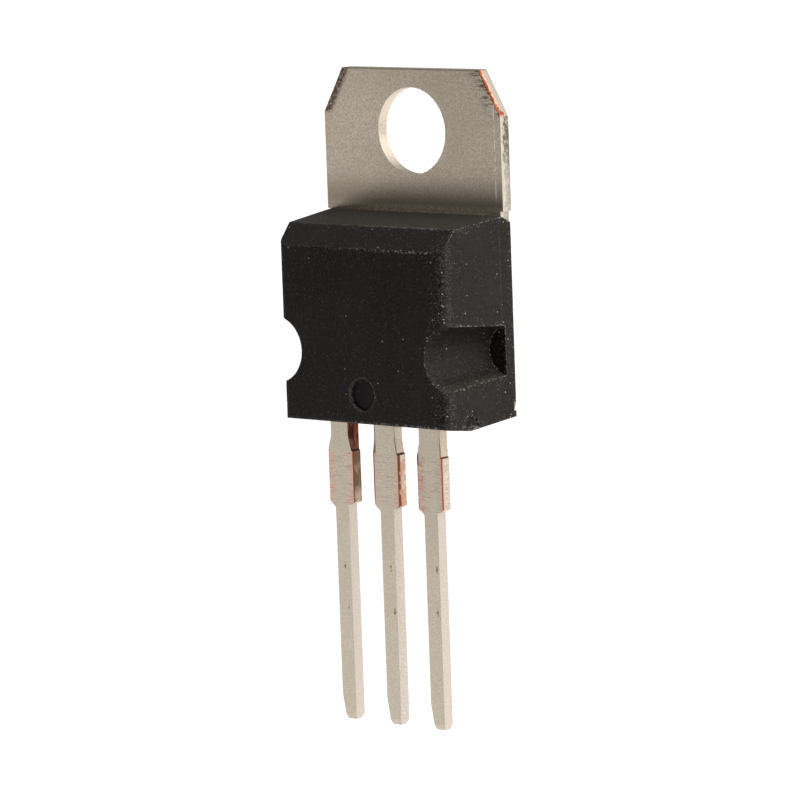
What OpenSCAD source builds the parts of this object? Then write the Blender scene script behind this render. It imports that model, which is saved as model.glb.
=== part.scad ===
// A voltage regulator: a moulded body on a stamped cooling tab with leads below.
// The origin is the centre of the tab's hole on the back face. +X is to the
// right, -Y is out of the front, +Y is towards the heat sink and +Z is up.
// All the sheet metal is cut from one thin strip, so every outline below is
// drawn in front view and every bend in side view.

/* [Sheet] */
// Thickness of the strip that the tab and all three leads are cut from
sheet_t = 0.56; // [0.5:0.01:0.6]

/* [Tab] */
// Width of the tab
tab_w = 10.1; // [9.9:0.05:10.4]
// Diameter of the screw hole
hole_d = 3.85; // [3.6:0.05:4]
// Hole centre up to the tab's top edge
hole_to_top = 2.75; // [2.65:0.05:3]
// Width of each clipped top corner
clip_w = 1.13; // [0.6:0.01:1.6]
// Height of each clipped top corner
clip_h = 2; // [1.2:0.1:2.6]
// Set-back of each side where the tie bars were cut off above the body
neck_inset = 0.15; // [0.13:0.01:0.3]
// Height of the neck that shows above the body on the right
right_neck_h = 0.2; // [0.1:0.02:0.4]
// Height of the neck that shows above the body on the left
left_neck_h = 0.02; // [0.02:0.02:0.4]
// Radius of the tab's corners
tab_r = 0.12; // [0.05:0.01:0.3]

/* [Moulded body] */
// Hole centre down to the body's top edge
body_drop = 3.59; // [3.4:0.05:4]
// Height of the body, from its top edge to its parting line below
body_h = 9.14; // [8.8:0.05:9.5]
// Set-back of the body's back edges from the tab's sides
body_inset = 0.07; // [0:0.01:0.1]
// Thickness of the body from the heat sink to its front
body_t = 4.43; // [4.35:0.01:4.6]
// Draft of the two sides, in degrees
side_draft = 3.8; // [1:0.2:6]
// Draft of the top, in degrees
top_draft = 5.9; // [2:0.1:8]
// Draft of the bottom in front of the parting line, in degrees
front_draft = 7.5; // [2:0.5:10]
// Draft of the bottom behind the parting line, in degrees
back_draft = 5.8; // [2:0.2:8]
// Height of the bevel across the top of the front
bevel_h = 0.95; // [0.5:0.05:1.4]
// Depth of that bevel
bevel_d = 0.89; // [0.5:0.01:1.2]
// Drop of the body's top edge beside the tab, down to the back face
flank_drop = 0.3; // [0.1:0.05:0.5]
// Radius of the two upright front edges
upright_r = 0.35; // [0.1:0.05:0.6]
// Radius of the level edges across the front
level_r = 0.12; // [0.05:0.01:0.3]

/* [Side notches] */
// Radius of each notch at the body's front
notch_front_r = 1.47; // [1.2:0.01:1.7]
// Radius of each notch at its floor
notch_floor_r = 1.1; // [0.8:0.01:1.2]
// Body's back edge out to each notch's centre at the front
notch_front_out = 0.02; // [-0.1:0.01:0.2]
// Body's back edge out to each notch's centre at its floor
notch_floor_out = 0.15; // [0.05:0.01:0.3]
// Body's top edge down to each notch's centre
notch_drop = 5.88; // [5.4:0.02:6.2]
// Thickness of the ledge left behind each notch
ledge_t = 0.56; // [0.5:0.01:0.8]

/* [Marks of the mould] */
// Diameter of the ejector pin's dimple
dimple_d = 1.45; // [1:0.05:2]
// Depth of the dimple
dimple_depth = 0.18; // [0.05:0.01:0.3]
// Middle of the body to the dimple's centre
dimple_x = -0.1; // [-1:0.1:1]
// Parting line up to the dimple's centre
dimple_up = 1.49; // [1.2:0.01:2]
// Radius of the half-round scar where the gate broke off
gate_r = 0.5; // [0.3:0.05:0.8]
// Depth of the gate's scar
gate_depth = 0.06; // [0.03:0.01:0.1]
// Parting line up to the scar's flat lower edge
gate_up = 0.18; // [0.1:0.01:0.5]
// Size of the chip out of the right back edge, across its widest end
chip_w = 0.14; // [0.1:0.01:0.4]
// Height of that chip
chip_h = 0.39; // [0.2:0.01:0.8]
// Body's top edge down to the chip's widest end
chip_drop = 8.58; // [8:0.02:8.6]

/* [Leads] */
// Distance between the leads' centre lines
pitch = 2.56; // [2.4:0.01:2.7]
// How far the ground lead stands to the right of the middle
ground_shift = 0.05; // [-0.1:0.01:0.1]
// Back face of the body to the back of the leads
lead_rise = 2.63; // [2.4:0.01:2.7]
// Length of the leads below the parting line
lead_l = 13.38; // [12.8:0.02:14]
// Width of the thin part of each lead
lead_w = 0.77; // [0.61:0.02:0.87]
// Left reach of the shoulder from its lead's centre line
shoulder_left = 0.7; // [0.62:0.01:0.76]
// Right reach of the shoulder
shoulder_right = 0.69; // [0.65:0.01:0.76]
// Parting line down to the shoulder
shoulder_drop = 1.27; // [1:0.01:1.5]
// Length of the shoulder
shoulder_l = 2.3; // [1.8:0.01:2.6]
// How far the dam bar's cut stands proud on the right of each lead
trim_step = 0.05; // [0.02:0.01:0.08]
// Length of the taper under the shoulder on the left
left_taper_l = 0.27; // [0.15:0.01:0.6]
// Length of the taper under the shoulder on the right
right_taper_l = 0.15; // [0.1:0.01:0.6]
// Parting line down to where the necks begin to widen
flare_drop = 0.62; // [0.4:0.02:0.8]
// Radius of the corners where the necks widen
flare_r = 0.25; // [0.1:0.05:0.3]
// Radius of the leads' other stamped corners
stamp_r = 0.12; // [0.05:0.01:0.2]
// Left and right reach of the input lead's neck from its centre line, at its front
input_neck = [0.51, 0.47];
// Right reach of the input lead's neck at its back, where it tore
torn_reach = 0.63; // [0.5:0.01:0.64]
// Left and right reach of the ground lead's neck from its centre line
ground_neck = [0.6, 0.54];
// Left and right reach of the output lead's neck from its centre line
output_neck = [0.55, 0.61];

/* [Lead tips] */
// Width of the slanting cut on the left of each tip
tip_cut_w = 0.2; // [0.1:0.02:0.3]
// Length of that cut
tip_cut_l = 1.15; // [0.5:0.05:1.5]
// Width of the small nick on the right of each tip
tip_nick_w = 0.08; // [0.04:0.01:0.15]
// Length of that nick
tip_nick_l = 0.2; // [0.1:0.02:0.4]
// Depth of the bevels on the front and back of each tip
tip_bevel_d = 0.11; // [0.05:0.01:0.15]
// Length of those bevels
tip_bevel_l = 0.25; // [0.1:0.01:0.5]

/* [Inside the body] */
// Width of the moulding left on each side of the pad at the back
pad_flank = 1.06; // [1:0.02:1.5]
// Tab's top edge to the bottom of the die pad
pad_drop = 12.4; // [12.1:0.05:12.8]
// Radius of the pad's lower corners
pad_r = 0.3; // [0.1:0.05:0.6]
// Reach of the pad's locking lip into the moulding
lip_w = 0.3; // [0.1:0.05:0.4]
// Pad's front back to the front of the lip
lip_setback = 0.15; // [0.1:0.01:0.2]
// Thickness of that lip
lip_t = 0.2; // [0.15:0.01:0.25]
// Angle of the ground lead's step down from the pad, in degrees
strap_angle = 55; // [45:1:60]
// Inner radius of the bends in that step
bend_r = 0.35; // [0.25:0.05:0.5]
// Pad's bottom edge up to the first bend
strap_lift = 0.2; // [0.1:0.05:0.3]
// Reach of each bond post from its lead's centre line towards the side
post_out = 0.85; // [0.7:0.05:0.95]
// Reach of each bond post towards the middle
post_in = 1.2; // [1:0.05:1.3]
// Height of the bond posts
post_h = 1.2; // [0.9:0.05:1.4]
// Parting line up to the bottom of the bond posts
post_up = 0.85; // [0.7:0.05:1]
// Width of the die
die_w = 2.2; // [1.6:0.1:2.6]
// Height of the die
die_h = 1.9; // [1.5:0.1:2.2]
// Thickness of the die
die_t = 0.3; // [0.2:0.02:0.4]
// Hole centre down to the die's centre
die_drop = 7.4; // [6.6:0.1:7.6]
// Thickness of the solder under the die
solder_t = 0.05; // [0.03:0.01:0.1]
// Reach of the solder past the die's edges
solder_edge = 0.1; // [0.05:0.05:0.3]
// Diameter of the bond wires
wire_d = 0.13; // [0.1:0.01:0.2]
// Radius of the wires' bends, to their centre line
wire_r = 0.35; // [0.25:0.05:0.45]
// Straight rise of each wire between its higher foot and its first bend
wire_rise = 0.2; // [0.1:0.02:0.3]
// Die's edge in to the wires' feet
wire_inset = 0.35; // [0.2:0.05:0.6]
// Solder's edge out to the ground wire's foot on the pad
ground_reach = 0.75; // [0.5:0.05:1]
// Diameter of each wire's flattened foot
foot_d = 0.26; // [0.22:0.02:0.34]
// Thickness of each foot
foot_t = 0.06; // [0.04:0.01:0.1]

/* [Hidden] */

$fn = 64;
// Angle that one straight piece of a rounded corner turns through
arc_step = 9;
// Extra length that carries a cut clear of the surface it leaves by
over = 1;

neck_w = tab_w - 2 * neck_inset;
body_w = tab_w - 2 * body_inset;
pad_w = body_w - 2 * pad_flank;
body_top = -body_drop;
body_bottom = body_top - body_h;
lead_front = -lead_rise - sheet_t;
parting_y = -lead_rise - sheet_t / 2;
bevel_y = -(body_t - bevel_d);
bevel_top = body_top - (body_t - bevel_d - sheet_t) * tan(top_draft);
front_bottom = body_bottom + (body_t + parting_y) * tan(front_draft);
back_bottom = body_bottom - parting_y * tan(back_draft);
body_front_w = body_w - 2 * body_t * tan(side_draft);
notch_front_x = body_w / 2 + notch_front_out;
notch_floor_x = body_w / 2 + notch_floor_out;

shoulder_top = body_bottom - shoulder_drop;
shoulder_bottom = shoulder_top - shoulder_l;
left_thin_top = shoulder_bottom - left_taper_l;
right_thin_top = shoulder_bottom - right_taper_l;
flare_top = body_bottom - flare_drop;
tip = body_bottom - lead_l;

slug_shoulder = body_top - flank_drop;
pad_bottom = hole_to_top - pad_drop;
lip_front = sheet_t - lip_setback;
strap_top = pad_bottom + strap_lift;
strap_root = strap_top + over;
strap_run = lead_rise / tan(strap_angle);

post_bottom = body_bottom + post_up;
post_top = post_bottom + post_h;
post_middle = pitch + (post_out - post_in) / 2;
post_level = post_bottom + post_h / 2;

solder_y = -sheet_t - solder_t;
die_y = solder_y - die_t;
foot_x = die_w / 2 - wire_inset;
foot_z = die_h / 2 - wire_inset;

tin = [0.7, 0.67, 0.61];

// Outlines. A corner is [x, y, radius], and a radius of 0 leaves it sharp.
function xy(p) = [p[0], p[1]];
function unit(v) = v / norm(v);
function turn(from, to) = (to - from + 540) % 360 - 180;

function arc(centre, r, from, by) =
    let (steps = max(2, ceil(abs(by) / arc_step)))
    [for (i = [0 : steps]) centre + r * [cos(from + by * i / steps), sin(from + by * i / steps)]];

function corner(before, p, after) =
    let (
        u = unit(xy(before) - xy(p)),
        v = unit(xy(after) - xy(p)),
        half = acos(u * v) / 2,
        centre = xy(p) + unit(u + v) * p[2] / sin(half),
        start = xy(p) + u * p[2] / tan(half) - centre,
        end = xy(p) + v * p[2] / tan(half) - centre,
        from = atan2(start.y, start.x)
    )
    arc(centre, p[2], from, turn(from, atan2(end.y, end.x)));

function rounded(corners) =
    let (n = len(corners))
    [for (i = [0 : n - 1]) each
        corners[i][2] == 0 ? [xy(corners[i])]
        : corner(corners[(i + n - 1) % n], corners[i], corners[(i + 1) % n])];

// A front view outline, cut through a sheet that reaches from y = -back to y = -front
module front_cut(back, front, corners) {
    translate([0, -back, 0])
        rotate([90, 0, 0])
            linear_extrude(front - back)
                polygon(rounded(corners));
}

// A side view outline of [y, z] corners, spread evenly over the width w
module side_cut(w, corners) {
    rotate([90, 0, 90])
        linear_extrude(w, center = true)
            polygon(rounded(corners));
}

// Every lead's tip in side view, bevelled at its front and back
tip_side = [
    [lead_front, tip + tip_bevel_l, 0],
    [lead_front + tip_bevel_d, tip, 0],
    [-lead_rise - tip_bevel_d, tip, 0],
    [-lead_rise, tip + tip_bevel_l, 0]];

// Front view of a lead from the body down: its left edge, then its right edge upwards
function lead_left_edge(x, neck) = [
    [x - neck[0], flare_top, flare_r],
    [x - shoulder_left, shoulder_top, flare_r],
    [x - shoulder_left, shoulder_bottom, stamp_r],
    [x - lead_w / 2, left_thin_top, stamp_r],
    [x - lead_w / 2, tip + tip_cut_l, 0],
    [x - lead_w / 2 + tip_cut_w, tip, 0]];

function lead_right_edge(x, neck) = [
    [x + lead_w / 2 - tip_nick_w, tip, 0],
    [x + lead_w / 2, tip + tip_nick_l, 0],
    [x + lead_w / 2, right_thin_top, 0],
    [x + shoulder_right, shoulder_bottom, 0],
    [x + shoulder_right, shoulder_top, 0],
    [x + shoulder_right - trim_step, shoulder_top, 0],
    [x + neck[1], flare_top, flare_r]];

// One of the two outer leads. The bond post at its head reaches post_out
// towards the body's side and post_in towards the ground lead.
module outer_lead(side, neck) {
    x = side * pitch;
    left_reach = side < 0 ? post_out : post_in;
    right_reach = side < 0 ? post_in : post_out;
    intersection() {
        side_cut(2 * body_w, concat([[lead_front, post_top, 0]], tip_side, [[-lead_rise, post_top, 0]]));
        front_cut(0, body_t, concat(
            [[x - left_reach, post_top, stamp_r],
                [x - left_reach, post_bottom, stamp_r],
                [x - neck[0], post_bottom, stamp_r]],
            lead_left_edge(x, neck),
            lead_right_edge(x, neck),
            [[x + neck[1], post_bottom, stamp_r],
                [x + right_reach, post_bottom, stamp_r],
                [x + right_reach, post_top, stamp_r]]));
    }
}

// The input lead's neck tore on its right, so that side leans out to the back
module torn_flank() {
    translate([-pitch, 0, shoulder_top])
        linear_extrude(post_bottom - shoulder_top)
            polygon([
                [0, lead_front],
                [input_neck[1], lead_front],
                [torn_reach, -lead_rise],
                [0, -lead_rise]]);
}

module input_lead() {
    color(tin) {
        outer_lead(-1, input_neck);
        torn_flank();
    }
}

module output_lead() {
    color(tin) outer_lead(1, output_neck);
}

// Side view of the ground lead: down from the pad, forward through two bends
// into the plane of the other leads, and straight on to the tip
function strap_side() =
    let (
        set_back = [sheet_t, -sheet_t * tan(strap_angle / 2)],
        outer_r = bend_r + sheet_t,
        first = [-sheet_t, strap_top],
        second = [lead_front, strap_top - strap_run]
    )
    concat(
        [[-sheet_t, strap_root, 0],
            [first.x, first.y, bend_r],
            [second.x, second.y, outer_r]],
        tip_side,
        [[second.x + set_back.x, second.y + set_back.y, bend_r],
            [first.x + set_back.x, first.y + set_back.y, outer_r],
            [0, strap_root, 0]]);

module ground_lead() {
    intersection() {
        side_cut(2 * body_w, strap_side());
        front_cut(0, body_t, concat(
            [[ground_shift - ground_neck[0], strap_root, 0]],
            lead_left_edge(ground_shift, ground_neck),
            lead_right_edge(ground_shift, ground_neck),
            [[ground_shift + ground_neck[1], strap_root, 0]]));
    }
}

// Right half of the tab, its cut tie bars and the die pad in front view, with
// the pad reaching pad_reach to the side and pad_end down
function slug_right(neck_h, pad_reach, pad_end) = [
    [tab_w / 2 - clip_w, hole_to_top, tab_r],
    [tab_w / 2, hole_to_top - clip_h, tab_r],
    [tab_w / 2, body_top + neck_h, 0],
    [neck_w / 2, body_top + neck_h, 0],
    [neck_w / 2, slug_shoulder, 0],
    [pad_reach, slug_shoulder, 0],
    [pad_reach, pad_end, pad_r]];

// The same corners on the left, in the order that goes on round the outline
function mirrored(corners) =
    [for (i = [len(corners) - 1 : -1 : 0]) [-corners[i].x, corners[i].y, corners[i].z]];

function slug_outline(pad_reach, pad_end) = concat(
    slug_right(right_neck_h, pad_reach, pad_end),
    mirrored(slug_right(left_neck_h, pad_reach, pad_end)));

module heat_slug() {
    color(tin)
        difference() {
            union() {
                front_cut(0, sheet_t, slug_outline(pad_w / 2, pad_bottom));
                front_cut(lip_front - lip_t, lip_front, slug_outline(pad_w / 2 + lip_w, pad_bottom - lip_w));
                ground_lead();
            }
            translate([0, over, 0])
                rotate([90, 0, 0])
                    cylinder(h = sheet_t + 2 * over, d = hole_d);
        }
}

module die_solder() {
    color("silver")
        translate([-die_w / 2 - solder_edge, solder_y, -die_drop - die_h / 2 - solder_edge])
            cube([die_w + 2 * solder_edge, solder_t, die_h + 2 * solder_edge]);
}

module regulator_die() {
    color("slategray")
        translate([-die_w / 2, die_y, -die_drop - die_h / 2])
            cube([die_w, die_t, die_h]);
}

// A quarter bend of wire in the XZ plane, about the centre [x, z] from the angle given
module wire_bend(x, z, from) {
    translate([x, 0, z])
        rotate([90, 0, 0])
            rotate([0, 0, from])
                rotate_extrude(angle = 90)
                    translate([wire_r, 0])
                        circle(d = wire_d);
}

// A bond wire that stands on two front faces, at the points [x, y, z] given
module bond_wire(start, end) {
    run = norm([end.x - start.x, end.z - start.z]);
    rise = start.y - end.y;
    peak = max(rise, 0) + wire_rise + wire_r;
    color("gainsboro")
        translate(start)
            rotate([90, 0, 0])
                rotate([0, 0, atan2(end.z - start.z, end.x - start.x)]) {
                    cylinder(h = foot_t, d = foot_d);
                    cylinder(h = peak - wire_r, d = wire_d);
                    wire_bend(wire_r, peak - wire_r, 90);
                    translate([wire_r, 0, peak])
                        rotate([0, 90, 0])
                            cylinder(h = run - 2 * wire_r, d = wire_d);
                    wire_bend(run - wire_r, peak - wire_r, 0);
                    translate([run, 0, rise]) {
                        cylinder(h = foot_t, d = foot_d);
                        cylinder(h = peak - wire_r - rise, d = wire_d);
                    }
                }
}

module input_bond_wire() {
    bond_wire([-foot_x, die_y, -die_drop - foot_z], [-post_middle, lead_front, post_level]);
}

module output_bond_wire() {
    bond_wire([foot_x, die_y, -die_drop - foot_z], [post_middle, lead_front, post_level]);
}

// The ground wire comes down on the pad beside the die
module ground_bond_wire() {
    bond_wire([foot_x, die_y, -die_drop + foot_z],
        [die_w / 2 + solder_edge + ground_reach, -sheet_t, -die_drop + foot_z]);
}

// The body before its notches: the side view and the plan cross each other
module body_block() {
    intersection() {
        side_cut(2 * body_w, [
            [0, slug_shoulder, 0],
            [-sheet_t, body_top, 0],
            [bevel_y, bevel_top, level_r],
            [-body_t, bevel_top - bevel_h, level_r],
            [-body_t, front_bottom, level_r],
            [parting_y, body_bottom, 0],
            [0, back_bottom, 0]]);
        translate([0, 0, body_bottom - over])
            linear_extrude(body_h + 2 * over)
                polygon(rounded([
                    [-body_w / 2, 0, 0],
                    [-body_front_w / 2, -body_t, upright_r],
                    [body_front_w / 2, -body_t, upright_r],
                    [body_w / 2, 0, 0]]));
    }
}

// One side notch: a drafted half round that stops at the ledge
module side_notch(side) {
    depth = body_t - ledge_t;
    lean = atan((notch_floor_x - notch_front_x) / depth);
    widening = (notch_front_r - notch_floor_r) / depth;
    intersection() {
        translate([side * notch_front_x, -body_t, body_top - notch_drop])
            rotate([90, 0, -side * lean])
                translate([0, 0, -depth - over])
                    cylinder(h = depth + 2 * over, r1 = notch_floor_r - widening * over,
                        r2 = notch_front_r + widening * over);
        translate([-body_w, -body_t - over, body_bottom])
            cube([2 * body_w, depth + over, body_h]);
    }
}

module dimple() {
    translate([dimple_x, -body_t + dimple_depth, body_bottom + dimple_up])
        rotate([90, 0, 0])
            cylinder(h = dimple_depth + over, d = dimple_d);
}

// The gate's scar lies in the right side, which the draft leans inwards
module gate_scar() {
    side_x = body_w / 2 + parting_y * tan(side_draft);
    translate([side_x, parting_y, body_bottom + gate_up])
        rotate([0, 0, -side_draft])
            intersection() {
                rotate([0, 90, 0])
                    cylinder(h = 2 * gate_depth, r = gate_r, center = true);
                translate([-over, -gate_r, 0])
                    cube([2 * over, 2 * gate_r, gate_r]);
            }
}

// A chip out of the right back edge: level below, running out upwards
module edge_chip() {
    inset = chip_w / sqrt(2);
    translate([body_w / 2, 0, body_top - chip_drop])
        rotate([90, 0, 45])
            linear_extrude(4 * chip_w, center = true)
                polygon([[-inset, 0], [chip_w, 0], [chip_w, chip_h * (1 + chip_w / inset)]]);
}

module moulded_body() {
    color([0.13, 0.12, 0.115])
        difference() {
            body_block();
            side_notch(-1);
            side_notch(1);
            dimple();
            gate_scar();
            edge_chip();
            heat_slug();
            input_lead();
            output_lead();
            regulator_die();
            die_solder();
            input_bond_wire();
            output_bond_wire();
            ground_bond_wire();
        }
}

moulded_body();
heat_slug();
input_lead();
output_lead();
regulator_die();
die_solder();
input_bond_wire();
output_bond_wire();
ground_bond_wire();
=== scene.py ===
import math

import bmesh
import bpy
from mathutils import Matrix, Vector, kdtree, noise


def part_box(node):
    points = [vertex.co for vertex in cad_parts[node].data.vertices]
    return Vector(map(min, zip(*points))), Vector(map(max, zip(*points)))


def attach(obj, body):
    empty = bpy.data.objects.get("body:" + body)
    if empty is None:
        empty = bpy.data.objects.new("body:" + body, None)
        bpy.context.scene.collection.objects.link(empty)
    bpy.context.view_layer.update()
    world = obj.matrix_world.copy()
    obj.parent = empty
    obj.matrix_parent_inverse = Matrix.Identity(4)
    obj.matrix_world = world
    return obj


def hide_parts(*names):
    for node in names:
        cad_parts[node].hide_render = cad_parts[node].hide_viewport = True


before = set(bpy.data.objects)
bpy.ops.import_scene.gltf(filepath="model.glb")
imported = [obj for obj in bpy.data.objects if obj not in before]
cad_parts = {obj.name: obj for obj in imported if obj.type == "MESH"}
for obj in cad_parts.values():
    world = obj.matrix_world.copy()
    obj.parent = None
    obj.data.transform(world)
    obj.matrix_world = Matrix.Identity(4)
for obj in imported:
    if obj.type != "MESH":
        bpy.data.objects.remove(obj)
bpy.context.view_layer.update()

# Lengths are in millimetres and angles in degrees, unless a name says otherwise.
# The part's front faces -Y, its right side +X and its tab's top edge +Z.
MM = 0.001

# Camera, as it stood for the photograph
FRAME_PX = 800
FOCAL_PX = 5085.6
PRINCIPAL_PX = (403.7, 408.5)
CAMERA_AZIMUTH = 40.54
CAMERA_ELEVATION = 7.70
CAMERA_ROLL = -2.05
CAMERA_DISTANCE = 223.74
CAMERA_AIM = Vector((0.373, -2.2, -12.091))
SENSOR_MM = 36
NEAREST_M = 0.01
FARTHEST_M = 10

# Frame of the part
SLUG_LOW, SLUG_HIGH = (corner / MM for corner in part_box("heat_slug"))
BODY_LOW, BODY_HIGH = (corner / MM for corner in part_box("moulded_body"))
LEAD_LOW, LEAD_HIGH = (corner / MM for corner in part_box("input_lead"))
TAB_SIDE = SLUG_HIGH.x
TAB_TOP = SLUG_HIGH.z
TAB_FOOT = BODY_HIGH.z
TIP_Z = SLUG_LOW.z
LEAD_FRONT = LEAD_LOW.y
SHEET_T = LEAD_HIGH.y - LEAD_LOW.y

# Centre lines of the outer leads, out from the middle, and of the ground lead
PITCH = 2.56
GROUND_X = 0.05

# Heights of the leads' shoulders, and their reach from a lead's centre line
SHOULDER_TOP = BODY_LOW.z - 1.27
SHOULDER_BOTTOM = SHOULDER_TOP - 2.3
SHOULDER_REACH = 0.69

# Nicks in the leads' thin parts: each one's reach to the right and its height over the tip
INPUT_NICKS = ((0.17, 5.06), (0.03, 6.91))
GROUND_NICKS = ((0.1, 7.06), (0.24, 5.08))
OUTPUT_NICKS = ((0.25, 7.21), (0.21, 5.25))

# Height under which the tab's strip is the ground lead: just inside the moulding
LEAD_LEVEL = BODY_LOW.z + 0.3

# The tab's clipped corners: their size, their foot, and the way that their cut faces look
CLIP = Vector((1.13, 0, 2.0))
CLIP_FOOT = TAB_TOP - CLIP.z
CLIP_OUT = Vector((CLIP.z, 0, CLIP.x)).normalized()
CLIP_REACH = CLIP_OUT.dot(Vector((TAB_SIDE, 0, CLIP_FOOT)))

# Lines on the tab's front, each from a lower to a higher coordinate
HAIRLINE_X = (TAB_SIDE - 0.39, TAB_SIDE - 0.34)
HAIRLINE_Z = (TAB_TOP - 5.75, TAB_TOP - 1.55)
CREASE_Z = (TAB_FOOT + 0.3, TAB_FOOT + 0.34)

# Marks of the mould
DIMPLE = Vector((-0.1, BODY_LOW.y, BODY_LOW.z + 1.49))
DIMPLE_R = 0.73
GATE = Vector((BODY_HIGH.x - 0.2, -2.91, BODY_LOW.z + 0.4))
GATE_R = 0.38
CHIP_Z = (BODY_LOW.z + 0.57, BODY_LOW.z + 0.95)
PARTING_Y = (-0.76, -0.7)
PARTING_Z = (BODY_HIGH.z - 4.6, BODY_HIGH.z - 0.4)
UPRIGHT_EDGE = Vector((BODY_HIGH.x - 0.3, BODY_LOW.y, 0))

# Rounded edges, and the cells that the body's faces are cut into
BODY_EDGE_R = 0.06
STRIP_EDGE_R = 0.03
EDGE_SEGMENTS = 3
BODY_CELL = 0.16

# Wear of the body: the mean over its faces, and the depth and reach of the chips along its edges
WEAR = 0.004
CHIP_DEPTH = 0.012
CHIP_REACH = 0.12
EDGE_STEP = 0.04

# Distances at which two points are joined, and at which a point is on a cutting plane
WELD = 0.0001
ON_PLANE = 0.0005


# Studio

def look_along(back, roll=0.0):
    """A rotation whose z axis is back and whose y axis leans up, turned by roll"""
    z = back.normalized()
    x = Vector((0, 0, 1)).cross(z).normalized()
    y = z.cross(x)
    turn = math.radians(roll)
    right = x * math.cos(turn) + y * math.sin(turn)
    up = y * math.cos(turn) - x * math.sin(turn)
    return Matrix((right, up, z)).transposed().to_4x4()


def direction(azimuth, elevation):
    """A unit vector towards the front at azimuth 0 and towards +X at 90"""
    a, e = math.radians(azimuth), math.radians(elevation)
    return Vector((math.sin(a) * math.cos(e), -math.cos(a) * math.cos(e), math.sin(e)))


def add(name, data):
    """Links a new object to the scene"""
    made = bpy.data.objects.new(name, data)
    bpy.context.scene.collection.objects.link(made)
    return made


def make_camera():
    lens = bpy.data.cameras.new("camera")
    lens.sensor_width = SENSOR_MM
    lens.lens = FOCAL_PX / FRAME_PX * SENSOR_MM
    lens.shift_x = 0.5 - PRINCIPAL_PX[0] / FRAME_PX
    lens.shift_y = PRINCIPAL_PX[1] / FRAME_PX - 0.5
    lens.clip_start = NEAREST_M
    lens.clip_end = FARTHEST_M
    camera = add("camera", lens)
    back = direction(CAMERA_AZIMUTH, CAMERA_ELEVATION)
    place = (CAMERA_AIM + back * CAMERA_DISTANCE) * MM
    camera.matrix_world = Matrix.Translation(place) @ look_along(back, CAMERA_ROLL)
    bpy.context.scene.camera = camera


def make_lamp(name, azimuth, elevation, distance, width, height, radiance):
    """A soft box that faces the middle of the part, as bright as white paper where radiance is 1"""
    lamp = bpy.data.lights.new(name, "AREA")
    lamp.shape = "RECTANGLE"
    lamp.size = width * MM
    lamp.size_y = height * MM
    lamp.energy = radiance * math.pi * lamp.size * lamp.size_y
    back = direction(azimuth, elevation)
    place = (CAMERA_AIM + back * distance) * MM
    add(name, lamp).matrix_world = Matrix.Translation(place) @ look_along(back)


# Shader nodes

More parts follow.
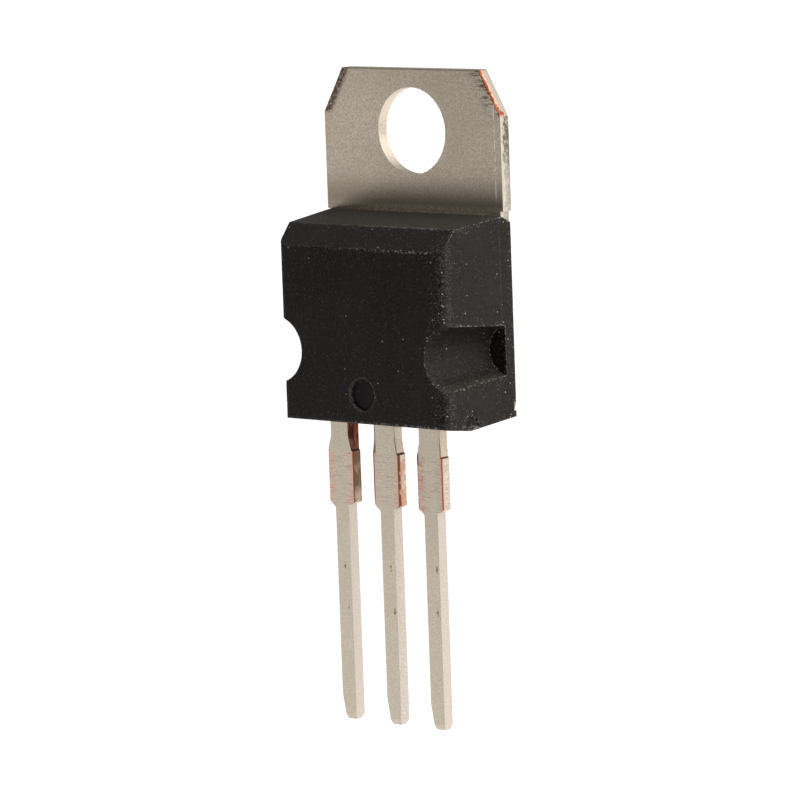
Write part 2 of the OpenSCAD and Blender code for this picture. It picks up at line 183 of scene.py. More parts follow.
class Paint:
    """The node tree of a material or of the world. Most methods add nodes and give back their output."""

    def __init__(self, owner):
        self.owner = owner
        owner.use_nodes = True
        self.tree = owner.node_tree
        self.tree.nodes.clear()

    def feed(self, socket, value):
        """Links an output to an input socket, or sets the input to a plain value"""
        if isinstance(value, bpy.types.NodeSocket):
            self.tree.links.new(value, socket)
        elif socket.type == "RGBA":
            socket.default_value = (*value[:3], 1)
        else:
            socket.default_value = value

    def node(self, kind, settings=None, **inputs):
        """A new node, with its settings and inputs by name and an underscore for each space"""
        made = self.tree.nodes.new("ShaderNode" + kind)
        for name, value in (settings or {}).items():
            setattr(made, name, value)
        for name, value in inputs.items():
            self.feed(made.inputs[name.replace("_", " ")], value)
        return made

    def operate(self, kind, operation, values):
        """The outputs of a new node that does one operation on the values"""
        made = self.node(kind, {"operation": operation})
        for socket, value in zip(made.inputs, values):
            self.feed(socket, value)
        return made.outputs

    def math(self, operation, *values):
        return self.operate("Math", operation, values)[0]

    def vector(self, operation, *values):
        return self.operate("VectorMath", operation, values)["Vector"]

    def number(self, operation, *vectors):
        """A length or a dot product"""
        return self.operate("VectorMath", operation, vectors)["Value"]

    def split(self, vector):
        return self.node("SeparateXYZ", Vector=vector).outputs[:3]

    def place(self):
        """The point's coordinates in the part's frame, in millimetres"""
        coordinates = self.node("TexCoord").outputs["Object"]
        return self.vector("MULTIPLY", coordinates, (1 / MM, 1 / MM, 1 / MM))

    def facing(self, x, y, z):
        """How far the surface faces a direction: 1 straight at it, 0 across it"""
        return self.number("DOT_PRODUCT", self.node("NewGeometry").outputs["Normal"], (x, y, z))

    def attribute(self, name):
        return self.node("Attribute", {"attribute_name": name}).outputs["Fac"]

    def from_line(self, place, point, along):
        """Distance from the line through a point"""
        offset = self.vector("SUBTRACT", place, point)
        return self.number("LENGTH", self.vector("CROSS_PRODUCT", offset, along))

    def ramp(self, value, start, end, low=0.0, high=1.0):
        """low up to start, then smoothly to high at end. It runs downwards where end is under start."""
        made = self.node("MapRange", {"interpolation_type": "SMOOTHSTEP", "clamp": True})
        if start > end:
            start, end, low, high = end, start, high, low
        for name, number in zip(("Value", "From Min", "From Max", "To Min", "To Max"),
                                (value, start, end, low, high)):
            self.feed(made.inputs[name], number)
        return made.outputs[0]

    def inside(self, value, start, end, soft):
        """1 between start and end, and 0 outside them"""
        return self.both(self.ramp(value, start - soft, start + soft),
                         self.ramp(value, end + soft, end - soft))

    def both(self, *masks):
        """The product of two or more masks, which is 1 only where all of them are"""
        product = masks[0]
        for mask in masks[1:]:
            product = self.math("MULTIPLY", product, mask)
        return product

    def noise(self, place, scale, detail=2.0, stretch=(1, 1, 1), roughness=0.5):
        """Noise of scale features per millimetre, closer along an axis with a larger stretch"""
        if stretch != (1, 1, 1):
            place = self.vector("MULTIPLY", place, stretch)
        return self.node("TexNoise", Vector=place, Scale=scale, Detail=detail,
                         Roughness=roughness).outputs["Fac"]

    def specks(self, place, spacing, radius, share):
        """Round specks, at most one to a cell of the given spacing, in the given share of the cells"""
        cells = self.node("TexVoronoi", Vector=place, Scale=1 / spacing)
        round_speck = self.ramp(cells.outputs["Distance"], 1.3 * radius / spacing, 0.7 * radius / spacing)
        chance = self.split(cells.outputs["Color"])[0]
        return self.both(round_speck, self.math("LESS_THAN", chance, share))

    def mix(self, factor, first, second):
        """The first colour where factor is 0 and the second where it is 1"""
        made = self.node("Mix", {"data_type": "RGBA"}, Factor=factor)
        first_socket, second_socket = [s for s in made.inputs if s.type == "RGBA"]
        self.feed(first_socket, first)
        self.feed(second_socket, second)
        return next(s for s in made.outputs if s.type == "RGBA")

    def finish(self, colour, roughness, height, depth, **shader):
        """Ends a material. height is a socket from 0 to 1, and depth its size in millimetres."""
        bump = self.node("Bump", Height=height, Distance=depth * MM, Strength=1.0)
        surface = self.node("BsdfPrincipled", Base_Color=colour, Roughness=roughness,
                            Normal=bump.outputs[0], **shader)
        self.node("OutputMaterial", Surface=surface.outputs[0])
        return self.owner


def paint_for(name):
    return Paint(bpy.data.materials.new(name))


def linear(level):
    """A screen's level from 0 to 1 as a share of the light of white"""
    return level / 12.92 if level <= 0.04045 else ((level + 0.055) / 1.055) ** 2.4


def screen(red, green, blue):
    """A colour given as it looks on a screen, from 0 to 255"""
    return tuple(linear(level / 255) for level in (red, green, blue))


# Moulding compound

EPOXY = (0.019, 0.0154, 0.0128)
EPOXY_DARK = (0.0037, 0.003, 0.0026)
EPOXY_CLOUD = (0.024, 0.0205, 0.0175)
PIN_FLOOR = (0.011, 0.0045, 0.0055)
PIN_RIM = (0.055, 0.05, 0.043)
SCAR = (0.003, 0.0027, 0.0025)
CHIPPED = screen(158, 148, 112)
# Painted light: paler colours for the right side and for the faces that look up
SIDE_LIGHT_PAINT = (0.043, 0.0365, 0.0285)
TOP_LIGHT_PAINT = (0.042, 0.0365, 0.0305)
# Rubbed grey edges that are also painted highlights
WORN_AND_HIGHLIT = (0.15, 0.138, 0.118)
SPECK = (0.068, 0.062, 0.054)
PALE_SPECK = (0.25, 0.235, 0.205)
PARTING = (0.05, 0.045, 0.038)


class Compound:
    """A point of the moulding: its place and grain, and how near it is to the edges and to the lit right
    side, where the painted edge highlights grow stronger
    """

    def __init__(self, paint):
        self.paint = paint
        self.place = paint.place()
        self.x, self.y, self.z = paint.split(self.place)
        self.grain = paint.noise(self.place, 10, 3, roughness=0.7)
        self.from_edge = paint.attribute("edge_distance")
        self.from_upright = paint.from_line(self.place, UPRIGHT_EDGE, (0, 0, 1))
        self.to_lit_right = paint.ramp(self.x, -4, 4, 0.15, 1)


def epoxy_grain(compound):
    """Black epoxy with a fine grain and broad, slightly paler clouds"""
    paint = compound.paint
    colour = paint.mix(paint.ramp(compound.grain, 0.4, 0.66), EPOXY_DARK, EPOXY)
    cloud = paint.noise(compound.place, 0.5, 3)
    return paint.mix(paint.ramp(cloud, 0.4, 0.8, 0, 0.3), colour, EPOXY_CLOUD)


def pin_mark(compound, colour):
    """The ejector pin's dimple: a dark floor and a dusty rim"""
    paint = compound.paint
    away = paint.from_line(compound.place, DIMPLE, (0, 1, 0))
    floor = paint.both(paint.ramp(away, DIMPLE_R, DIMPLE_R - 0.05),
                       paint.inside(compound.y, DIMPLE.y + 0.05, DIMPLE.y + 1, 0.02))
    rim = paint.both(paint.inside(away, DIMPLE_R - 0.03, DIMPLE_R + 0.04, 0.02),
                     paint.ramp(compound.y, DIMPLE.y + 0.3, DIMPLE.y + 0.1),
                     paint.ramp(compound.grain, 0.35, 0.55))
    return paint.mix(rim, paint.mix(floor, colour, PIN_FLOOR), PIN_RIM)


def gate_scar(compound, colour):
    """The ragged scar low in the right side, where the moulding was broken off its gate"""
    paint = compound.paint
    ragged = paint.ramp(paint.noise(compound.place, 2.5, 3), 0.2, 0.8, -0.2, 0.2)
    away = paint.math("ADD", paint.from_line(compound.place, GATE, (1, 0, 0)), ragged)
    scar = paint.both(paint.ramp(away, GATE_R + 0.06, GATE_R - 0.06),
                      paint.ramp(compound.x, 4, 4.2),
                      paint.ramp(compound.grain, 0.25, 0.5))
    return paint.mix(scar, colour, SCAR)


def back_chip(compound, colour):
    """The small chip in the right back edge"""
    paint = compound.paint
    away = paint.from_line(compound.place, (BODY_HIGH.x, 0, 0), (0, 0, 1))
    chip = paint.both(paint.ramp(away, 0.14, 0.11), paint.inside(compound.z, *CHIP_Z, 0.04))
    return paint.mix(chip, colour, CHIPPED)


def painted_side_and_top_light(compound, colour):
    """Painted light: the right side a little paler, and the faces that look up paler still, mottled by the
    grain
    """
    paint = compound.paint
    on_right = paint.ramp(paint.facing(1, 0, 0), 0.9, 0.98, 0, 0.14)
    on_top = paint.both(paint.ramp(paint.facing(0, 0, 1), 0.8, 0.97),
                        paint.ramp(compound.grain, 0.25, 0.65, 0.1, 1))
    return paint.mix(on_top, paint.mix(on_right, colour, SIDE_LIGHT_PAINT), TOP_LIGHT_PAINT)


def worn_and_highlit_edges(compound, colour):
    """Edges painted grey in short dashes, as rubbing and as painted highlights, more to the right where
    the light falls, but hardly on the rounded upright edge
    """
    paint = compound.paint
    worn_and_highlit = paint.both(paint.ramp(compound.from_edge, 0.055, 0.02),
                      paint.ramp(paint.noise(compound.place, 9, 2), 0.5, 0.58),
                      compound.to_lit_right,
                      paint.ramp(compound.from_upright, 0.45, 0.6, 0.1, 1))
    return paint.mix(worn_and_highlit, colour, WORN_AND_HIGHLIT)


def dust_specks(compound, colour):
    """Specks of dust in patches, gathered along the edges and most of all along the upright one"""
    paint = compound.paint
    near_edge = paint.both(paint.ramp(compound.from_edge, 0.45, 0.05, 0, 0.4), compound.to_lit_right)
    near_upright = paint.ramp(compound.from_upright, 1.1, 0.3, 0, 0.75)
    gathered = paint.math("MAXIMUM", near_edge, near_upright)
    patchy = paint.ramp(paint.noise(compound.place, 1.3), 0.35, 0.65, 0.45, 1.15)
    share = paint.both(paint.math("ADD", gathered, 0.06), patchy)
    rare = paint.math("MULTIPLY", share, 0.3)
    colour = paint.mix(paint.specks(compound.place, 0.07, 0.025, share), colour, SPECK)
    return paint.mix(paint.specks(compound.place, 0.17, 0.035, rare), colour, PALE_SPECK)


def parting_line(compound, colour):
    """The faint broken line on the right side, where the halves of the mould met"""
    paint = compound.paint
    line = paint.both(paint.ramp(paint.facing(1, 0, 0), 0.8, 0.95),
                      paint.inside(compound.y, *PARTING_Y, 0.03),
                      paint.inside(compound.z, *PARTING_Z, 0.3),
                      paint.ramp(paint.noise(compound.place, 5), 0.35, 0.65, 0.1, 0.6))
    return paint.mix(line, colour, PARTING)


def moulding_compound():
    """Black filled epoxy with the marks of its mould, dust specks, worn edges with painted highlights, and
    painted light on its right side and top
    """
    paint = paint_for("moulding_compound")
    compound = Compound(paint)
    colour = epoxy_grain(compound)
    for mark in (pin_mark, gate_scar, back_chip, painted_side_and_top_light, worn_and_highlit_edges, dust_specks, parting_line):
        colour = mark(compound, colour)
    roughness = paint.ramp(compound.grain, 0.2, 0.8, 0.5, 0.62)
    return paint.finish(colour, roughness, compound.grain, 0.014, Specular_IOR_Level=0.12)


# Tinned copper

TIN = (0.60, 0.535, 0.435)
TIN_SHADE = (0.445, 0.39, 0.315)
TIN_SIDE = (0.67, 0.60, 0.525)
TIN_SIDE_SHADE = (0.52, 0.455, 0.39)
NECK_SIDE = (0.715, 0.61, 0.49)
NECK_SIDE_SHADE = (0.555, 0.465, 0.365)
TAB_TIN = (0.82, 0.72, 0.59)
TAB_SHADE = (0.57, 0.495, 0.395)
# The tab's foot: a painted highlight strip at the moulding, and over it a brown film with painted shade
FOOT_HIGHLIGHT = (1.0, 0.85, 0.66)
FOOT_HIGHLIGHT_DARK = (0.6, 0.48, 0.36)
FILM_AND_SHADE = (0.24, 0.18, 0.132)
HAIRLINE = (1.0, 0.95, 0.86)
TOP_RIM = (0.3, 0.25, 0.2)
NECK_LINE = (0.2, 0.17, 0.13)
TIN_PALE = screen(222, 212, 198)
TIN_WARM = screen(214, 202, 186)
CUT = screen(174, 165, 152)
NICK = screen(104, 90, 74)
SCRATCH = screen(104, 90, 76)
BURR = screen(104, 82, 72)
STEP_LINE = screen(40, 26, 20)
OLIVE = screen(104, 92, 70)
OLIVE_PALE = screen(158, 134, 106)

# Bare and smeared copper
PEACH = screen(224, 182, 150)
PEACH_DULL = screen(204, 160, 132)
PINK = screen(208, 163, 150)
PINK_DARK = screen(190, 138, 126)
FINE_STROKE = screen(140, 112, 96)
RUST = screen(138, 68, 44)
COPPER = screen(176, 110, 76)
COPPER_BROWN = screen(128, 74, 56)
COPPER_DARK = screen(80, 42, 33)
TORN_PALE = screen(132, 98, 84)
TORN_SHADE = screen(50, 30, 26)

# How much paler the tin of the tab's upper left is, as a painted sheen
SHEEN_GAIN = (1.19, 1.18, 1.17)


def tin_grain(paint, place, pale, dark):
    """Matte tin with a grain like fine sand: its colour and the grain"""
    grain = paint.noise(place, 17, 2, roughness=0.8)
    cloud = paint.noise(place, 0.5, 3)
    colour = paint.mix(paint.ramp(grain, 0.38, 0.62), dark, pale)
    return paint.mix(paint.ramp(cloud, 0.35, 0.75, 0, 0.3), colour, dark), grain


def finish_tin(paint, colour, grain):
    return paint.finish(colour, paint.ramp(grain, 0.3, 0.7, 0.44, 0.52), grain, 0.008, Metallic=1.0)


class Tab:
    """A point of the tab: its place, its depth behind the front, two noises and two masks"""

    def __init__(self, paint):
        self.paint = paint
        self.place = paint.place()
        self.x, y, self.z = paint.split(self.place)
        self.fine = paint.noise(self.place, 7, 3, roughness=0.7)
        self.uneven = paint.ramp(paint.noise(self.place, 3.5, 3), 0.3, 0.7, -0.08, 0.08)
        self.depth = paint.math("ADD", y, SHEET_T)
        self.ragged_depth = paint.math("ADD", self.depth, self.uneven)
        self.front = paint.ramp(self.depth, 0.03, 0.01)
        self.clip_height = paint.ramp(self.z, CLIP_FOOT - 0.1, CLIP_FOOT + 0.1)

    def from_cut(self, side):
        """Distance in from a clipped corner's cut, on the left where side is -1 and on the right at 1"""
        out = (side * CLIP_OUT.x, 0, CLIP_OUT.z)
        reach = self.paint.number("DOT_PRODUCT", self.place, out)
        return self.paint.math("SUBTRACT", CLIP_REACH, reach)


def sheen_corner(tab, colour):
    """Painted sheen: tin that grows paler towards the tab's upper left"""
    paint = tab.paint
    pale = paint.both(tab.front, paint.ramp(tab.x, 2, -3.5),
                      paint.ramp(tab.z, TAB_TOP - 4.95, TAB_TOP - 1.15))
    return paint.vector("MULTIPLY", colour, paint.mix(pale, (1, 1, 1), SHEEN_GAIN))


def shaded_foot(tab, colour, grain):
    """A brown film with painted shade and a painted reflection of the dark body, thickening downwards, and
    a painted highlight strip at the moulding
    """
    paint = tab.paint
    film_and_shade = paint.both(tab.front, paint.ramp(tab.z, TAB_FOOT + 1.9, TAB_FOOT + 0.5, 0, 0.62))
    highlight_strip = paint.both(tab.front, paint.ramp(tab.z, TAB_FOOT + 0.45, TAB_FOOT + 0.2, 0, 0.9),
                       paint.ramp(tab.x, -5, -1.5, 0.1, 1))
    highlight_tin = paint.mix(paint.ramp(grain, 0.38, 0.62), FOOT_HIGHLIGHT_DARK, FOOT_HIGHLIGHT)
    return paint.mix(highlight_strip, paint.mix(film_and_shade, colour, FILM_AND_SHADE), highlight_tin)


def burred_corner(tab, colour):
    """Dark burrs along the left clipped corner"""
    paint = tab.paint
    burr = paint.both(tab.front, tab.clip_height, paint.ramp(tab.from_cut(-1), 0.5, 0.2),
                      paint.ramp(tab.fine, 0.3, 0.52, 0, 0.95))
    return paint.mix(burr, colour, BURR)


def scratched_corner(tab, colour):
    """Level scratches that start at the right clipped corner"""
    paint = tab.paint
    strokes = paint.noise(tab.place, 1, 2, stretch=(1.6, 1.6, 13))
    scratches = paint.both(tab.front, tab.clip_height, paint.ramp(tab.from_cut(1), 0.8, 0.15),
                           paint.ramp(strokes, 0.48, 0.58, 0, 0.85))
    return paint.mix(scratches, colour, SCRATCH)


def cut_corner(tab, colour):
    """The right clipped corner's cut face, peach at its front, with a ragged line of bare copper that
    spills over the front edge and widens at its foot"""
    paint = tab.paint
    away = tab.from_cut(1)
    at_corner = paint.both(paint.ramp(tab.x, 0, 1), tab.clip_height)
    on_cut = paint.ramp(away, 0.05, 0.02)
    cut_colour = paint.mix(paint.ramp(tab.depth, 0.28, 0.16), CUT, PEACH)
    colour = paint.mix(paint.both(on_cut, at_corner), colour, cut_colour)

    widened = paint.ramp(tab.z, CLIP_FOOT + 0.45, CLIP_FOOT + 0.1, 0, 0.25)
    line = paint.ramp(paint.math("SUBTRACT", tab.ragged_depth, widened), 0.15, 0.08)
    spilt = paint.both(tab.front, paint.ramp(paint.math("ADD", away, tab.uneven), 0.06, 0.03))
    bare = paint.both(at_corner, paint.math("MAXIMUM", spilt, paint.both(on_cut, line)))
    return paint.mix(bare, colour, paint.mix(paint.ramp(tab.fine, 0.42, 0.58), RUST, COPPER))


def cut_side(tab, colour):
    """The right side's cut face: pale tin, with a stain that is stronger higher up"""
    paint = tab.paint
    on_side = paint.both(paint.ramp(paint.facing(1, 0, 0), 0.5, 0.8),
                         paint.ramp(tab.x, TAB_SIDE - 1, TAB_SIDE - 0.9),
                         paint.ramp(tab.z, CLIP_FOOT + 0.05, CLIP_FOOT - 0.05))
    side_colour = paint.mix(paint.ramp(tab.ragged_depth, 0.2, 0.55, 0, 0.6), TIN_PALE, CUT)
    stain = paint.both(on_side,
                       paint.ramp(tab.ragged_depth, 0.12, 0.22),
                       paint.ramp(tab.fine, 0.32, 0.55),
                       paint.ramp(tab.z, TAB_FOOT + 1.2, CLIP_FOOT - 0.8, 0.3, 0.95))
    return paint.mix(stain, paint.mix(on_side, colour, side_colour), OLIVE)


def hairline(tab, colour):
    """A bright broken hairline down the right of the front"""
    paint = tab.paint
    line = paint.both(tab.front,
                      paint.inside(tab.x, *HAIRLINE_X, 0.015),
                      paint.inside(tab.z, *HAIRLINE_Z, 0.1),
                      paint.ramp(paint.noise(tab.place, 3), 0.38, 0.56, 0.1, 0.9))
    return paint.mix(line, colour, HAIRLINE)


def top_rim(tab, colour):
    """A dull line along the front's top edge"""
    paint = tab.paint
    rim = paint.both(tab.front, paint.ramp(tab.z, TAB_TOP - 0.09, TAB_TOP - 0.04, 0, 0.75))
    return paint.mix(rim, colour, TOP_RIM)


def crease(tab, colour):
    """A faint pale crease across the front, just over the moulding"""
    paint = tab.paint
    line = paint.both(tab.front, paint.inside(tab.z, *CREASE_Z, 0.02),
                      paint.ramp(tab.fine, 0.4, 0.55, 0, 0.35))
    return paint.mix(line, colour, TIN_PALE)


def tab_tin():
    """The tab's tin, with bare copper and burrs where its corners and sides were cut"""
    paint = paint_for("tab_tin")
    tab = Tab(paint)
    colour, grain = tin_grain(paint, tab.place, TAB_TIN, TAB_SHADE)
    # Painted sheen at the upper left; painted shade and a painted highlight strip at the foot
    colour = shaded_foot(tab, sheen_corner(tab, colour), grain)
    for mark in (burred_corner, scratched_corner, cut_corner, cut_side, hairline, top_rim, crease):
        colour = mark(tab, colour)
    return finish_tin(paint, colour, grain)


class Lead:
    """A point of a lead: its place, and masks from 0 to 1 for the lead's faces and parts"""

    def __init__(self, paint, centre):
        self.paint = paint
        self.place = paint.place()
        x, y, self.z = paint.split(self.place)
        self.across = paint.math("SUBTRACT", x, centre)
        self.depth = paint.math("SUBTRACT", y, LEAD_FRONT)
        self.shoulder = paint.inside(self.z, SHOULDER_BOTTOM - 0.1, SHOULDER_TOP, 0.02)
        self.neck = paint.ramp(self.z, SHOULDER_TOP - 0.01, SHOULDER_TOP + 0.01)
        self.front = paint.ramp(self.depth, 0.02, 0.005)
        self.cut = paint.ramp(paint.math("ABSOLUTE", paint.facing(0, 1, 0)), 0.8, 0.5)
        self.side = paint.both(self.cut, paint.ramp(paint.facing(1, 0, 0), 0.2, 0.5))

    def left_band(self, width):
        """The band along the shoulder's left edge"""
        return self.paint.ramp(self.across, width - SHOULDER_REACH, 0.5 * width - SHOULDER_REACH)

    def right_band(self, width):
        """The band along the shoulder's right edge"""
        return self.paint.ramp(self.across, SHOULDER_REACH - width, SHOULDER_REACH - 0.5 * width)

    def strokes(self, length, spacing, low, high, strength=1.0):
        """Fine level strokes, where a noise goes over low and high"""
        stretch = (1 / length, 1 / length, 1 / spacing)
        return self.paint.ramp(self.paint.noise(self.place, 1, 1, stretch=stretch), low, high, 0, strength)


def lead_grain(lead):
    """The lead's tin, paler on its cut sides: its colour and the grain"""
    paint = lead.paint
    colour, grain = tin_grain(paint, lead.place, TIN, TIN_SHADE)
    fine = paint.ramp(grain, 0.4, 0.6)
    side = paint.mix(lead.neck, paint.mix(fine, TIN_SIDE_SHADE, TIN_SIDE),
                     paint.mix(fine, NECK_SIDE_SHADE, NECK_SIDE))
    return paint.mix(lead.cut, colour, side), grain


def lined_neck(lead, colour):
    """A dull line along the front edge of the neck's side, fainter just under the moulding"""
    paint = lead.paint
    line = paint.both(lead.neck, lead.side, paint.ramp(lead.depth, 0.1, 0.05),
                      paint.ramp(lead.z, BODY_LOW.z - 0.27, BODY_LOW.z - 0.57, 0.4, 0.9))
    return paint.mix(line, colour, NECK_LINE)


def sheared(lead, colour, side, step=STEP_LINE):
    """The shoulder's cut side: a line of bare copper at its front, the given colour behind it, and a
    line at the step up to the neck"""
    paint = lead.paint
    cut = paint.both(lead.shoulder, lead.side)
    at_front = paint.both(cut, paint.ramp(lead.depth, 0.11, 0.07))
    at_step = paint.both(lead.side, paint.inside(lead.z, SHOULDER_TOP - 0.03, SHOULDER_TOP + 0.05, 0.015))
    colour = paint.mix(cut, colour, side)
    colour = paint.mix(at_front, colour, RUST)
    return paint.mix(at_step, colour, step)


def smeared(lead, colour, left, right, pink=PINK):
    """Copper smeared over the edges of the shoulder's front, in strokes of the given strengths"""
    paint = lead.paint
    on_front = paint.both(lead.shoulder, lead.front)
    rim = paint.both(on_front, lead.left_band(0.1), lead.strokes(0.6, 0.1, 0.35, 0.5, left))
    left_smear = paint.both(on_front, lead.left_band(0.5), lead.strokes(0.5, 0.045, 0.48, 0.58, left))
    right_smear = paint.both(on_front, lead.right_band(0.45), lead.strokes(0.5, 0.045, 0.48, 0.58, right))
    for smear in (rim, left_smear, right_smear):
        colour = paint.mix(smear, colour, pink)
    fine = paint.both(on_front, lead.strokes(0.6, 0.04, 0.58, 0.66, 0.4))
    return paint.mix(fine, colour, FINE_STROKE)


def nicked(lead, colour, nicks):
    """Small dark nicks in the front of the thin part"""
    paint = lead.paint
    ragged = paint.ramp(paint.noise(lead.place, 8, 2), 0.3, 0.7, -0.03, 0.03)
    for across, over_tip in nicks:
        right = paint.math("SUBTRACT", lead.across, across)
        up = paint.math("MULTIPLY", paint.math("SUBTRACT", lead.z, TIP_Z + over_tip), 0.4)
        away = paint.number("LENGTH", paint.node("CombineXYZ", X=right, Y=up).outputs[0])
        nick = paint.ramp(paint.math("ADD", away, ragged), 0.075, 0.04, 0, 0.75)
        colour = paint.mix(paint.both(lead.front, nick), colour, NICK)
    return colour


def torn_copper(lead, streaks):
    """Copper torn open, dark at the front and brown behind it, in upright streaks"""
    paint = lead.paint
    torn = paint.mix(paint.ramp(lead.depth, 0.28, 0.36), COPPER_DARK, COPPER_BROWN)
    torn = paint.mix(paint.ramp(streaks, 0.5, 0.64, 0, 0.8), torn, TORN_PALE)
    return paint.mix(paint.ramp(streaks, 0.46, 0.36, 0, 0.7), torn, TORN_SHADE)


def stained_side(lead, streaks):
    """An olive stain with paler streaks and brown blotches over a pale foot"""
    paint = lead.paint
    blotches = paint.noise(lead.place, 3, 2, stretch=(1, 1, 0.35))
    side = paint.mix(paint.ramp(lead.z, SHOULDER_BOTTOM + 0.8, SHOULDER_BOTTOM + 0.3), OLIVE, TIN_PALE)
    side = paint.mix(paint.ramp(streaks, 0.48, 0.6, 0, 0.7), side, OLIVE_PALE)
    return paint.mix(paint.ramp(blotches, 0.48, 0.6, 0, 0.55), side, COPPER_BROWN)


def input_tin():
    """The input lead's tin, torn off the neck's side"""
    paint = paint_for("input_lead_tin")
    lead = Lead(paint, -PITCH)
    colour, grain = lead_grain(lead)
    streaks = paint.noise(lead.place, 5, 3, stretch=(1, 1.4, 0.3))
    colour = paint.mix(paint.both(lead.neck, lead.side), colour, torn_copper(lead, streaks))
    colour = sheared(lead, colour, stained_side(lead, streaks))
    colour = smeared(lead, colour, 0.85, 0.85)
    return finish_tin(paint, nicked(lead, colour, INPUT_NICKS), grain)


def peach_side(lead):
    """Pale tin with dull peach blotches, and brown ones at its front"""
    paint = lead.paint
    blotches = paint.noise(lead.place, 3, 3)
    side = paint.mix(paint.ramp(blotches, 0.45, 0.6), PEACH_DULL, TIN_WARM)
    brown = paint.both(paint.ramp(lead.depth, 0.22, 0.17), paint.ramp(blotches, 0.35, 0.5))
    return paint.mix(brown, side, COPPER_BROWN)


def ground_tin():
    """The ground lead's tin, with dark copper along its left edge"""
    paint = paint_for("ground_lead_tin")
    lead = Lead(paint, GROUND_X)
    colour, grain = lead_grain(lead)
    colour = sheared(lead, lined_neck(lead, colour), peach_side(lead))
    colour = smeared(lead, colour, 0.6, 0.45)
    left_edge = paint.both(lead.front, paint.ramp(lead.z, SHOULDER_BOTTOM, SHOULDER_BOTTOM + 0.4),
                           lead.left_band(0.06))
    neck_edge = paint.both(lead.front, lead.neck, paint.ramp(lead.across, -0.52, -0.57, 0, 0.8))
    for dark in (left_edge, neck_edge):
        colour = paint.mix(dark, colour, COPPER_DARK)
    return finish_tin(paint, nicked(lead, colour, GROUND_NICKS), grain)


def output_tin():
    """The output lead's tin, with a pale cut side and dark copper at the left of the shoulder's top"""
    paint = paint_for("output_lead_tin")
    lead = Lead(paint, PITCH)
    colour, grain = lead_grain(lead)
    side = paint.mix(lead.strokes(0.3, 0.08, 0.4, 0.65), TIN_SIDE, TIN_SIDE_SHADE)
    side = paint.mix(paint.ramp(lead.depth, 0.2, 0.14), side, PEACH)
    colour = sheared(lead, lined_neck(lead, colour), side, step=COPPER_BROWN)
    colour = smeared(lead, colour, 0.9, 0.5, PINK_DARK)
    flare = paint.both(lead.front, paint.inside(lead.z, SHOULDER_TOP - 0.35, SHOULDER_TOP + 0.2, 0.08),
                       lead.left_band(0.11))
    colour = paint.mix(flare, colour, COPPER_DARK)
    return finish_tin(paint, nicked(lead, colour, OUTPUT_NICKS), grain)


# What the moulding hides

SILICON = (0.25, 0.26, 0.29)
SOLDER = (0.5, 0.5, 0.5)
BOND_WIRE = (0.8, 0.8, 0.8)


def sealed_in(name, colour, metallic, roughness):
    """A plain finish with a fine grain"""
    paint = paint_for(name)
    grain = paint.noise(paint.place(), 12, 2)
    shaded = paint.mix(grain, tuple(0.85 * c for c in colour), colour)
    return paint.finish(shaded, roughness, grain, 0.002, Metallic=metallic)


# Pieces

def copied(node):
    """A node's mesh with its flat faces made whole"""
    mesh = bmesh.new()
    mesh.from_mesh(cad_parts[node].data)
    bmesh.ops.remove_doubles(mesh, verts=mesh.verts, dist=WELD * MM)
    bmesh.ops.dissolve_limit(mesh, angle_limit=math.radians(0.5), verts=mesh.verts, edges=mesh.edges)
    return mesh


def cut_by_plane(mesh, point, normal):
    bmesh.ops.bisect_plane(mesh, geom=mesh.verts[:] + mesh.edges[:] + mesh.faces[:],
                           dist=ON_PLANE * MM, plane_co=point, plane_no=normal)


def cut_in_cells(mesh, cell):
    """Cuts the faces along an even grid of planes"""
    low = Vector(min(v.co[i] for v in mesh.verts) for i in range(3))
    high = Vector(max(v.co[i] for v in mesh.verts) for i in range(3))
    for axis in range(3):
        normal = Vector(int(i == axis) for i in range(3))
        count = math.ceil((high[axis] - low[axis]) / cell)
        for i in range(1, count):
            level = low[axis] + (high[axis] - low[axis]) * i / count
            cut_by_plane(mesh, normal * level, normal)


def bent_edges(mesh, angle):
    return [e for e in mesh.edges if e.is_manifold and e.calc_face_angle() > math.radians(angle)]


def outer_edges(mesh):
    """The edges that handling can wear: sharp ones, and the steps of a rounded edge but not of a hollow"""
    return [e for e in bent_edges(mesh, 7) if e.is_convex or e.calc_face_angle() > math.radians(20)]


def edge_tree(edges, step):
    """A search tree of points along the edges"""
    points = []
    for edge in edges:
        start, end = (vertex.co for vertex in edge.verts)
        count = max(1, math.ceil((end - start).length / step))
        points += [start.lerp(end, i / count) for i in range(count + 1)]
    tree = kdtree.KDTree(len(points))
    for i, point in enumerate(points):
        tree.insert(point, i)
    tree.balance()
    return tree


def wear_at(place, away):
    """How far the surface is sunk at a place, with its distance to the nearest edge. The dimple's rim
    has no chips."""
    uneven = WEAR * (1 + noise.noise(place * 1.5))
    ragged = max(0.0, noise.noise(place * 2.2) + 0.5 * noise.noise(place * 7))
    if (place - DIMPLE).length < DIMPLE_R + 0.2:
        return uneven
    return uneven + CHIP_DEPTH * ragged * max(0.0, 1 - away / CHIP_REACH)


def wear_down(mesh, edges):
    """Sinks the surface a little, most of all at its edges, and keeps each point's distance to an edge"""
    layer = mesh.verts.layers.float.new("edge_distance")
    mesh.normal_update()
    sunk = {}
    for vertex in mesh.verts:
        away = edges.find(vertex.co)[2] / MM
        vertex[layer] = away
        sunk[vertex] = vertex.co - vertex.normal * wear_at(vertex.co / MM, away) * MM
    for vertex, place in sunk.items():
        vertex.co = place


def smooth_by_area(data):
    """Smooth shading that keeps large faces flat and bends the narrow ones at their edges"""
    sums = [Vector() for _ in data.vertices]
    for face in data.polygons:
        face.use_smooth = True
        for i in face.vertices:
            sums[i] += face.normal * face.area
    data.normals_split_custom_set_from_vertices([total.normalized() for total in sums])


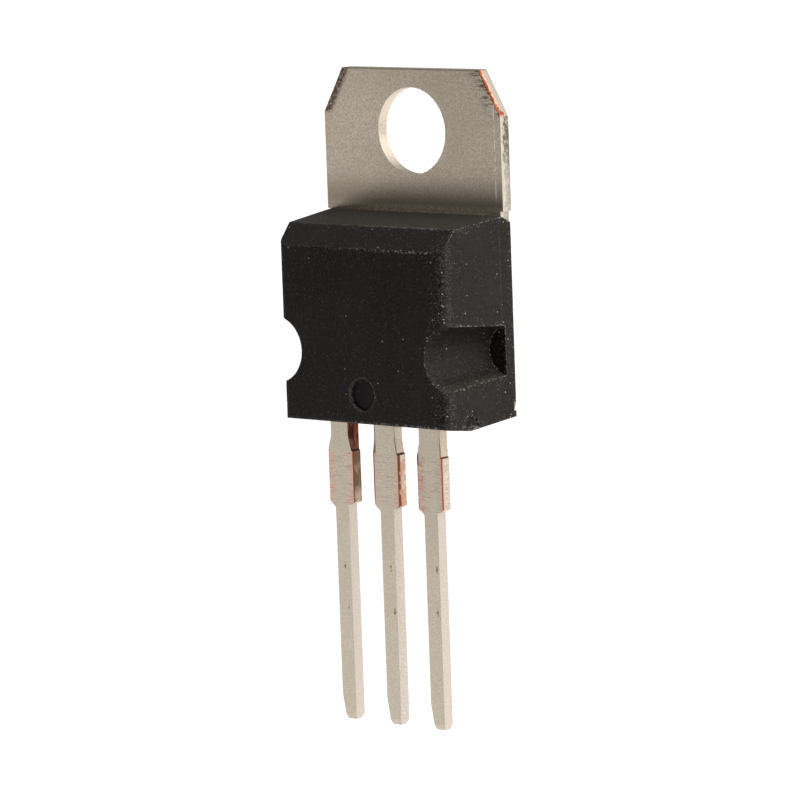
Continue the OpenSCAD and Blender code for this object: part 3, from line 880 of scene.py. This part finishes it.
def refined(node, radius, cell=None, level=None):
    """A copy of a node that replaces it, with rounded edges, worn faces where a cell is given, and its
    faces cut at a level's height where one is given"""
    mesh = copied(node)
    edges = edge_tree(outer_edges(mesh), EDGE_STEP * MM)
    bmesh.ops.bevel(mesh, geom=bent_edges(mesh, 20), offset=radius * MM, segments=EDGE_SEGMENTS,
                    profile=0.5, affect="EDGES", clamp_overlap=True)
    if level:
        cut_by_plane(mesh, Vector((0, 0, level * MM)), Vector((0, 0, 1)))
    if cell:
        cut_in_cells(mesh, cell * MM)
        wear_down(mesh, edges)
    data = bpy.data.meshes.new(node)
    mesh.to_mesh(data)
    mesh.free()
    smooth_by_area(data)
    piece = add(node + "_finish", data)
    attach(piece, "root")
    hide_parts(node)
    return piece


def dress(piece, slot, *materials):
    """Gives a piece its materials. slot is not used."""
    piece.data.materials.clear()
    for material in materials:
        piece.data.materials.append(material)


# Surroundings

# Floor: its half size, its gap under the leads' tips, and its colours outside and inside the pool
FLOOR_REACH = 2000
FLOOR_GAP = 12
FLOOR_GREY = (0.25, 0.25, 0.25)
FLOOR_WHITE = (0.8, 0.8, 0.8)

# Pool of light on the floor, centred behind the part and to its right: its place, how far it is even
# and how far it reaches, and how brightly it glows for the camera and in the metal
POOL_AZIMUTH = 135
POOL_OFFSET = 80
POOL_INNER = 80
POOL_OUTER = 200
POOL_SHOW = 0.45
POOL_GLOW = 0.5

# Studio sky: the way to its bright side, and its radiance, where 1 is white paper
SKY_AZIMUTH = 125
SKY_ELEVATION = -25
SKY_DIM = 0.07
SKY_BRIGHT = 1.35
WHITE = (1, 1, 1)


def floor_paint():
    """White all over to the camera, but in the metal only a pool of light"""
    paint = paint_for("floor")
    path = paint.node("LightPath").outputs
    away = paint.from_line(paint.place(), direction(POOL_AZIMUTH, 0) * POOL_OFFSET, (0, 0, 1))
    pool = paint.ramp(away, POOL_INNER, POOL_OUTER, 1, 0)
    matt = paint.node("BsdfDiffuse", Color=paint.mix(pool, FLOOR_GREY, FLOOR_WHITE))
    to_camera = paint.both(path["Is Camera Ray"], paint.ramp(pool, 0, 1, 1, POOL_SHOW))
    in_metal = paint.both(path["Is Glossy Ray"], paint.ramp(pool, 0, 1, 0, POOL_GLOW))
    glow = paint.node("Emission", Color=WHITE, Strength=paint.math("ADD", to_camera, in_metal))
    surface = paint.node("AddShader")
    for socket, shader in zip(surface.inputs, (matt, glow)):
        paint.feed(socket, shader.outputs[0])
    paint.node("OutputMaterial", Surface=surface.outputs[0])
    return paint.owner


def make_floor():
    """The floor, just below what the camera sees"""
    reach = FLOOR_REACH * MM
    height = (TIP_Z - FLOOR_GAP) * MM
    corners = [(x * reach, y * reach, height) for x, y in ((-1, -1), (1, -1), (1, 1), (-1, 1))]
    data = bpy.data.meshes.new("floor")
    data.from_pydata(corners, [], [(0, 1, 2, 3)])
    data.materials.append(floor_paint())
    add("floor", data)


def make_world():
    """White behind the part, and for all else a studio that is bright at the right and the back"""
    world = bpy.data.worlds.new("studio")
    bpy.context.scene.world = world
    paint = Paint(world)
    way = paint.node("TexCoord").outputs["Generated"]
    to_bright = paint.number("DOT_PRODUCT", way, tuple(direction(SKY_AZIMUTH, SKY_ELEVATION)))
    studio = paint.ramp(to_bright, -0.5, 0.8, SKY_DIM, SKY_BRIGHT)
    camera = paint.node("LightPath").outputs["Is Camera Ray"]
    sky = paint.node("Background", Color=WHITE, Strength=paint.math("MAXIMUM", studio, camera))
    paint.node("OutputWorld", Surface=sky.outputs[0])


# Scene

make_camera()
make_lamp("key", azimuth=92, elevation=45, distance=170, width=130, height=130, radiance=6.0)
make_lamp("top", azimuth=-83, elevation=52, distance=180, width=110, height=110, radiance=1.7)
make_lamp("low", azimuth=-52, elevation=-11.5, distance=72, width=80, height=22, radiance=1.85)
make_floor()
make_world()

body = refined("moulded_body", BODY_EDGE_R, cell=BODY_CELL)
dress(body, "moulding_compound", moulding_compound())
slug = refined("heat_slug", STRIP_EDGE_R, level=LEAD_LEVEL)
dress(slug, "tinned_copper", tab_tin(), ground_tin())
for face in slug.data.polygons:
    face.material_index = int(face.center.z < LEAD_LEVEL * MM)
dress(refined("input_lead", STRIP_EDGE_R), "tinned_copper", input_tin())
dress(refined("output_lead", STRIP_EDGE_R), "tinned_copper", output_tin())

dress(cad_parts["regulator_die"], "silicon", sealed_in("silicon", SILICON, 0.6, 0.25))
dress(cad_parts["die_solder"], "solder", sealed_in("solder", SOLDER, 1.0, 0.4))
wire = sealed_in("bond_wire", BOND_WIRE, 1.0, 0.3)
for name in ("input_bond_wire", "output_bond_wire", "ground_bond_wire"):
    dress(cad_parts[name], "bond_wire", wire)

bpy.context.scene.view_settings.view_transform = "Standard"
